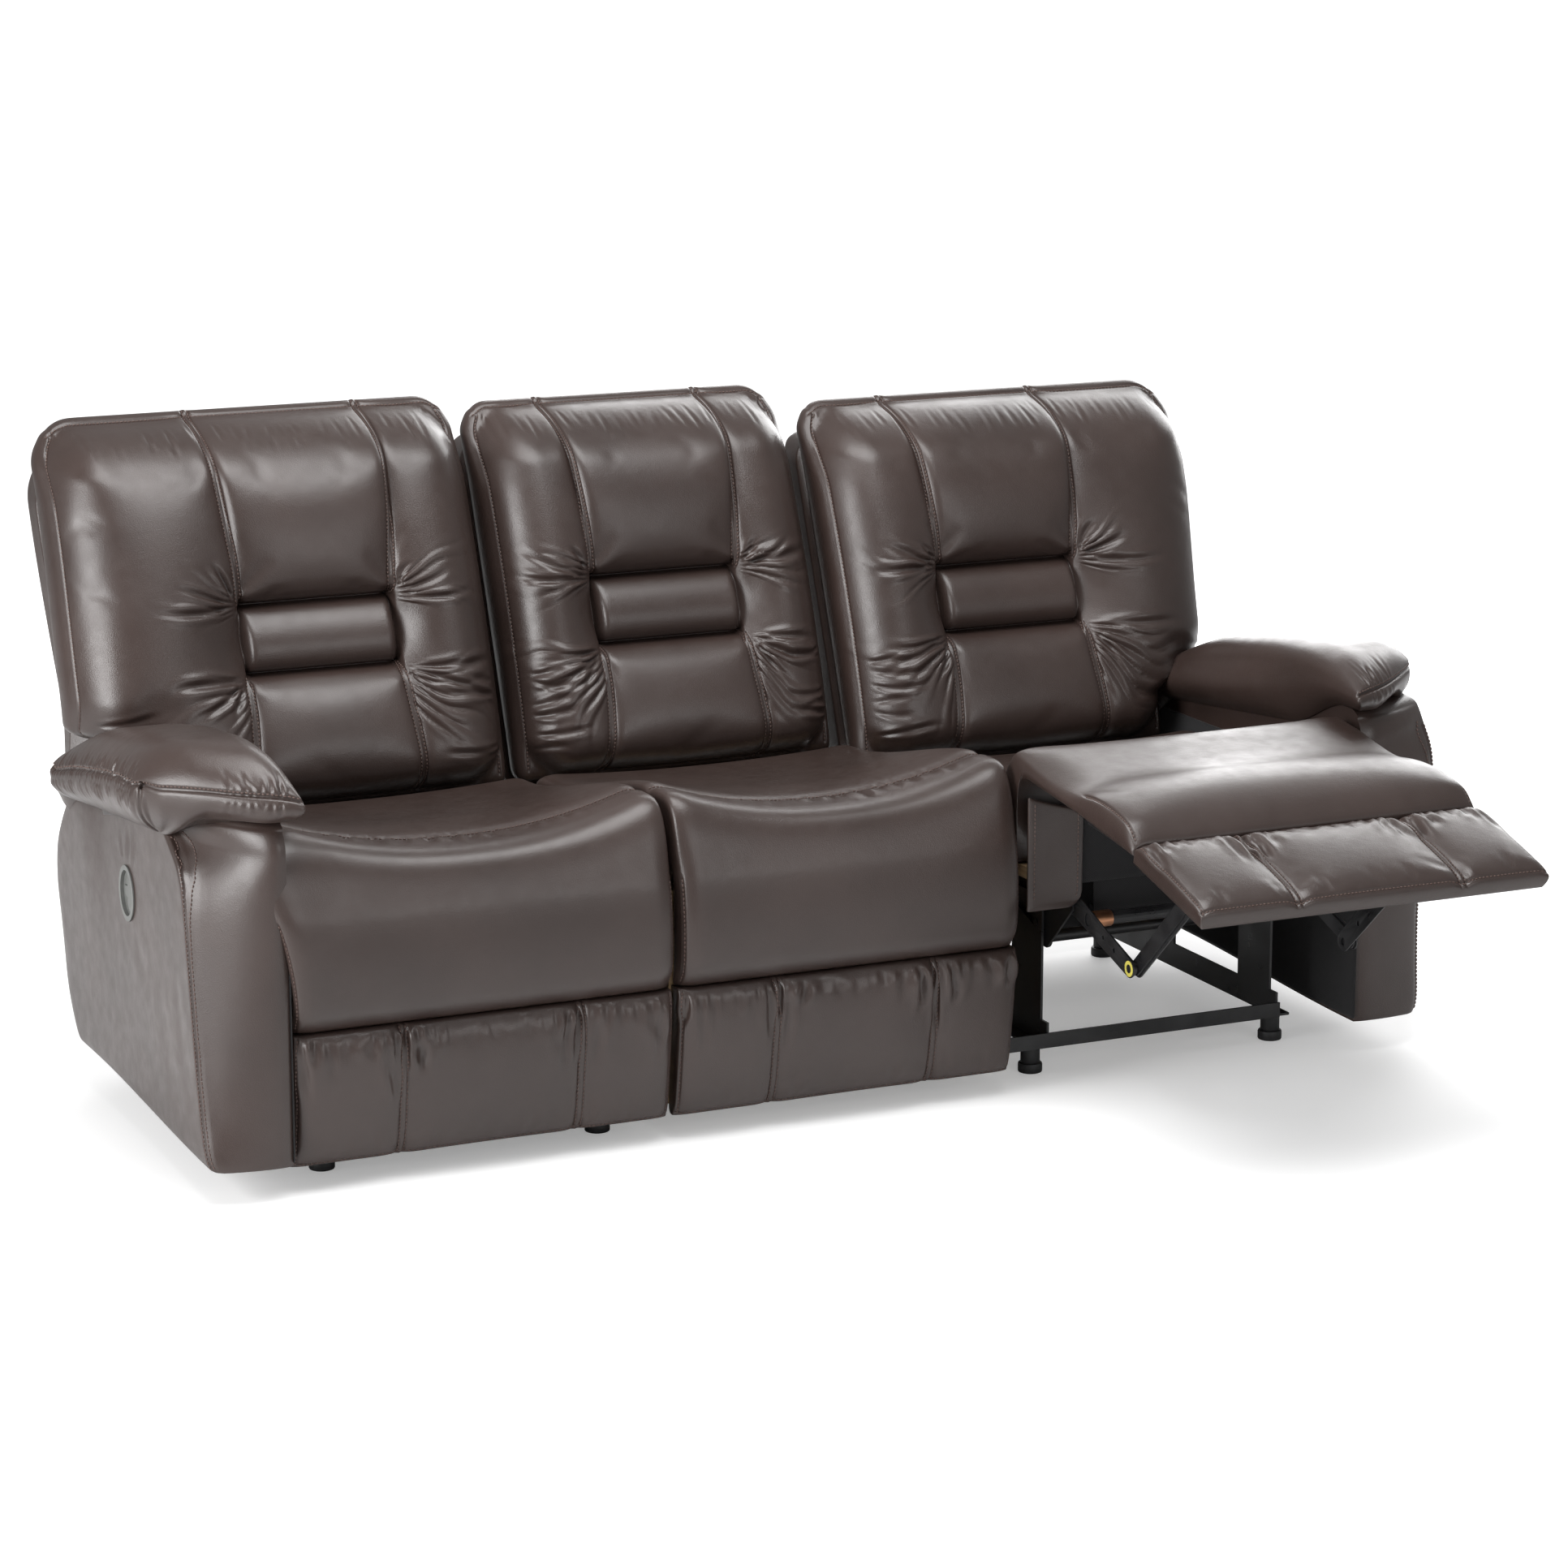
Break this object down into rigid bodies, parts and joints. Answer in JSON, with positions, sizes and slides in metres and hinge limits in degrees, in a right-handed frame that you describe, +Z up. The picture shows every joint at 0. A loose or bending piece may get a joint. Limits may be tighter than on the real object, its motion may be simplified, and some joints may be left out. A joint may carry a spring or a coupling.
{
  "type": "reclining sofa",
  "caption": "Three-seat leather reclining sofa with pillow arms, swing-out end footrests on steel links, reclining end backs and a fixed centre seat.",
  "frame": {"origin": "on the floor, under the middle of the whole sofa's bounding box as it stands, with the right footrest out", "axes": "+X to the viewer's right, +Y to the back of the sofa, +Z up; the seats face -Y"},
  "size_m": [2.142, 1.5374, 1.021],
  "materials": {
    "leather": "dark brown grained upholstery leather with a soft sheen",
    "timber": "plain frame timber and board, hidden by the upholstery",
    "dust_cloth": "thin black dust cloth",
    "black_steel": "black semi-gloss painted steel",
    "black_plastic": "black matte plastic",
    "grey_plastic": "light grey satin plastic"
  },
  "bodies": {
    "frame": {"centre_seat_cushion": "leather", "centre_back_cushion": "leather", "centre_back_shell": "leather", "centre_front_upper_pad": "leather", "centre_front_lower_pad": "leather", "centre_seat_box": "timber", "rear_lower_panel": "dust_cloth", "left_arm_shell": "leather", "left_arm_panel": "dust_cloth", "left_arm_pad": "leather", "left_latch_bezel": "grey_plastic", "left_release_cable": "black_plastic", "left_inner_base_rail": "black_steel", "left_inner_front_foot": "black_plastic", "left_inner_rear_foot": "black_plastic", "left_outer_base_rail": "black_steel", "left_outer_front_foot": "black_plastic", "left_outer_rear_foot": "black_plastic", "left_front_cross_rail": "black_steel", "left_rear_cross_rail": "black_steel", "right_arm_shell": "leather", "right_arm_panel": "dust_cloth", "right_arm_pad": "leather", "right_latch_bezel": "grey_plastic", "right_release_cable": "black_plastic", "right_inner_base_rail": "black_steel", "right_inner_front_foot": "black_plastic", "right_inner_rear_foot": "black_plastic", "right_outer_base_rail": "black_steel", "right_outer_front_foot": "black_plastic", "right_outer_rear_foot": "black_plastic", "right_front_cross_rail": "black_steel", "right_rear_cross_rail": "black_steel"},
    "left_seat": {"left_seat_cushion": "leather", "left_seat_frame": "timber", "left_inner_side_plate": "black_steel", "left_outer_side_plate": "black_steel"},
    "left_back": {"left_back_cushion": "leather", "left_back_shell": "leather"},
    "left_footrest": {"left_footrest_upper_pad": "leather", "left_footrest_lower_pad": "leather", "left_footrest_frame": "black_steel"},
    "left_lift": {"left_lift_frame": "black_steel"},
    "left_links": {"left_inner_upper_link": "black_steel", "left_outer_upper_link": "black_steel"},
    "left_latch": {"left_latch_paddle": "grey_plastic"},
    "right_seat": {"right_seat_cushion": "leather", "right_seat_frame": "timber", "right_inner_side_plate": "black_steel", "right_outer_side_plate": "black_steel"},
    "right_back": {"right_back_cushion": "leather", "right_back_shell": "leather"},
    "right_footrest": {"right_footrest_upper_pad": "leather", "right_footrest_lower_pad": "leather", "right_footrest_frame": "black_steel"},
    "right_lift": {"right_lift_frame": "black_steel"},
    "right_links": {"right_inner_upper_link": "black_steel", "right_outer_upper_link": "black_steel"},
    "right_latch": {"right_latch_paddle": "grey_plastic"}
  },
  "joints": [
    {"name": "left_footrest_swing", "type": "hinge", "parent": "left_seat", "child": "left_footrest", "pos_m": [-0.591, -0.21266, 0.54], "axis": [-1, 0, 0], "range_deg": [0, 81]},
    {"name": "left_seat_travel", "type": "slide", "parent": "frame", "child": "left_seat", "axis": [0, -0.9487, -0.3162], "range_m": [0, 0.06325]},
    {"name": "left_lift_swing", "type": "hinge", "parent": "left_seat", "child": "left_lift", "pos_m": [-0.591, -0.10466, 0.33], "axis": [-1, 0, 0], "range_deg": [0, 136.65]},
    {"name": "left_link_swing", "type": "hinge", "parent": "left_footrest", "child": "left_links", "pos_m": [-0.591, -0.15552, 0.22316], "axis": [-1, 0, 0], "range_deg": [-35.77, 0]},
    {"name": "left_recline", "type": "hinge", "parent": "left_seat", "child": "left_back", "pos_m": [-0.591, 0.45034, 0.395], "axis": [-1, 0, 0], "range_deg": [0, 22]},
    {"name": "left_latch_pull", "type": "hinge", "parent": "frame", "child": "left_latch", "pos_m": [-1.01, 0.15932, 0.384], "axis": [0, 0, -1], "range_deg": [0, 25], "stiffness_Nm_per_rad": 0.4, "springref_deg": -5.73},
    {"name": "right_footrest_swing", "type": "hinge", "parent": "right_seat", "child": "right_footrest", "pos_m": [0.591, -0.27266, 0.52], "axis": [1, 0, 0], "range_deg": [0, 81]},
    {"name": "right_seat_travel", "type": "slide", "parent": "frame", "child": "right_seat", "axis": [0, 0.9487, 0.3162], "range_m": [0, 0.06325]},
    {"name": "right_lift_swing", "type": "hinge", "parent": "right_seat", "child": "right_lift", "pos_m": [0.591, -0.16466, 0.31], "axis": [1, 0, 0], "range_deg": [0, 136.65]},
    {"name": "right_link_swing", "type": "hinge", "parent": "right_footrest", "child": "right_links", "pos_m": [0.591, -0.57666, 0.414], "axis": [1, 0, 0], "range_deg": [-35.77, 0]},
    {"name": "right_recline", "type": "hinge", "parent": "right_seat", "child": "right_back", "pos_m": [0.591, 0.39034, 0.375], "axis": [-1, 0, 0], "range_deg": [0, 22]},
    {"name": "right_latch_pull", "type": "hinge", "parent": "frame", "child": "right_latch", "pos_m": [1.01, 0.15932, 0.384], "axis": [0, 0, 1], "range_deg": [0, 25], "stiffness_Nm_per_rad": 0.4, "springref_deg": -5.73}
  ],
  "couplings": [
    {"joint": "left_seat_travel", "follows": "left_footrest_swing", "m_per_rad": 0.044737},
    {"joint": "left_lift_swing", "follows": "left_footrest_swing", "ratio": 1.6868},
    {"joint": "left_link_swing", "follows": "left_footrest_swing", "ratio": -0.44147},
    {"joint": "right_seat_travel", "follows": "right_footrest_swing", "m_per_rad": 0.044737},
    {"joint": "right_lift_swing", "follows": "right_footrest_swing", "ratio": 1.6868},
    {"joint": "right_link_swing", "follows": "right_footrest_swing", "ratio": -0.44147}
  ]
}
